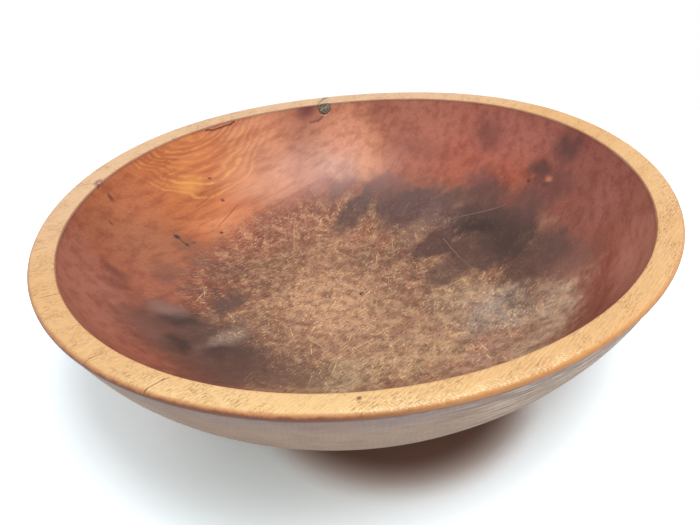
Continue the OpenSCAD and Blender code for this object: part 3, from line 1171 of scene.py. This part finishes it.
def knot_material():
    """Dead branch wood: grey-green and black with pale specks, and the pin knot, at x below 0, red."""
    material, n, shader, p = wood_material("knot_wood_dark", 0.6, 0, 0.3)
    colour = n.mix(n.span(n.noise(p, 2, 4, 0.7), 0.36, 0.62), rgb(58, 46, 42), rgb(138, 128, 108))
    speck = n.span(n.noise(p, 0.8, 2), 0.56, 0.64)
    colour = n.tint(colour, speck, 0.8, 214, 204, 180)
    x, _, _ = n.split(p)
    red = n.mix(n.noise(p, 1.2, 3), rgb(84, 40, 38), rgb(176, 116, 100))
    colour = n.mix(n.math("LESS_THAN", x, 0), colour, red)
    rough = n.scale_add(n.noise(p, 1.2, 3), 0.3, 0.45)
    finish_wood(n, shader, colour, rough, n.noise(p, 1, 4, 0.6), 0.35)
    return material


def direction(turn, rise):
    t, r = radians(turn), radians(rise)
    return Vector((cos(t) * cos(r), sin(t) * cos(r), sin(r)))


def add_camera():
    data = bpy.data.cameras.new("photo_camera")
    data.lens = CAM_LENS
    data.sensor_width = CAM_SENSOR
    data.sensor_fit = "HORIZONTAL"
    data.clip_start = 0.01
    data.clip_end = 50
    camera = bpy.data.objects.new("photo_camera", data)
    back = -Vector(CAM_FORWARD)
    columns = Matrix((CAM_RIGHT, CAM_UP, back)).transposed()
    camera.matrix_world = Matrix.Translation(Vector(CAM_AT) * MM) @ columns.to_4x4()
    bpy.context.scene.collection.objects.link(camera)
    bpy.context.scene.camera = camera


def add_lamp(name, turn, rise, reach, size, power):
    """A soft white panel that looks at the bowl from a direction."""
    data = bpy.data.lights.new(name, "AREA")
    data.shape = "RECTANGLE"
    data.size, data.size_y = size
    data.energy = power
    lamp = bpy.data.objects.new(name, data)
    way = direction(turn, rise)
    lamp.location = LAMP_AIM + way * reach
    lamp.rotation_euler = way.to_track_quat("Z", "Y").to_euler()
    lamp.visible_camera = False
    bpy.context.scene.collection.objects.link(lamp)


def add_world():
    """A soft tent, dimmer at the top and near the floor, which the camera sees as plain white."""
    world = bpy.data.worlds.new("white_tent")
    bpy.context.scene.world = world
    n = fresh_nodes(world)
    way = n.vector("NORMALIZE", n.add("ShaderNodeTexCoord").outputs["Generated"])
    _, _, rise = n.split(way)
    level = n.times(n.span(rise, 0.75, 0.30, 0.48, 0.88), n.span(rise, 0.12, 0.34, 0.3, 1))
    seen = n.add("ShaderNodeLightPath").outputs["Is Camera Ray"]
    shader = n.add("ShaderNodeBackground")
    shader.inputs["Color"].default_value = (1, 1, 1, 1)
    n.put(shader.inputs["Strength"], n.scale_add(seen, n.math("SUBTRACT", 1, level), level))
    n.put(n.add("ShaderNodeOutputWorld").inputs["Surface"], shader.outputs[0])


def floor_material():
    """Pale floor that turns plain white far out; round the bowl the camera sees a painted shadow and a
    painted brown bounce of light from the wood.
    """
    material = bpy.data.materials.new("floor_white")
    n = fresh_nodes(material)
    where = n.scaled(n.add("ShaderNodeTexCoord").outputs["Object"], (1, 1, 0))
    path = n.add("ShaderNodeLightPath").outputs
    # Painted shadow, for camera rays only: a dim patch by the bowl's side, a painted brown bounce and a dark
    # core under its front
    core_shadow, dim_shadow = (n.vector("LENGTH", n.vector("SUBTRACT", where, (*at, 0))) for at in (SHADOW_CORE_AT, DIM_SHADOW_AT))
    tone = n.mix(n.span(dim_shadow, *DIM_SHADOW_REACH), DIM_SHADOW_TONE, OPEN_TONE)
    tone = n.mix(n.span(core_shadow, *BOUNCE_TINT_REACH), BOUNCE_TINT_TONE, tone)
    tone = n.mix(n.span(core_shadow, *SHADOW_CORE_REACH), SHADOW_CORE_TONE, tone)
    soft = n.add("ShaderNodeBsdfDiffuse")
    n.put(soft.inputs["Color"], n.mix(path["Is Camera Ray"], FLOOR_TONE, tone))
    white = n.add("ShaderNodeEmission")
    far = n.span(n.vector("LENGTH", where), *FAR_REACH)
    seen = n.most([path[ray] for ray in ("Is Camera Ray", "Is Glossy Ray", "Is Transmission Ray")])
    both = n.add("ShaderNodeMixShader")
    for socket, value in zip(both.inputs, (n.times(far, seen), soft.outputs[0], white.outputs[0])):
        n.put(socket, value)
    n.put(n.add("ShaderNodeOutputMaterial").inputs["Surface"], both.outputs[0])
    return material


def add_floor():
    half = FLOOR_HALF
    corners = [(-half, -half, 0), (half, -half, 0), (half, half, 0), (-half, half, 0)]
    floor = new_piece("floor", corners, [(0, 1, 2, 3)], [floor_material()])


def main():
    add_camera()
    add_world()
    add_lamp("top_panel", *TOP_LAMP)
    add_floor()
    bowl_piece([well_material(), rim_material(), wall_material()])
    dark = knot_material()
    rim_knot_piece(dark)
    pin_knot_piece(dark)
    bpy.context.scene.view_settings.view_transform = "Standard"
    bpy.context.view_layer.update()


main()
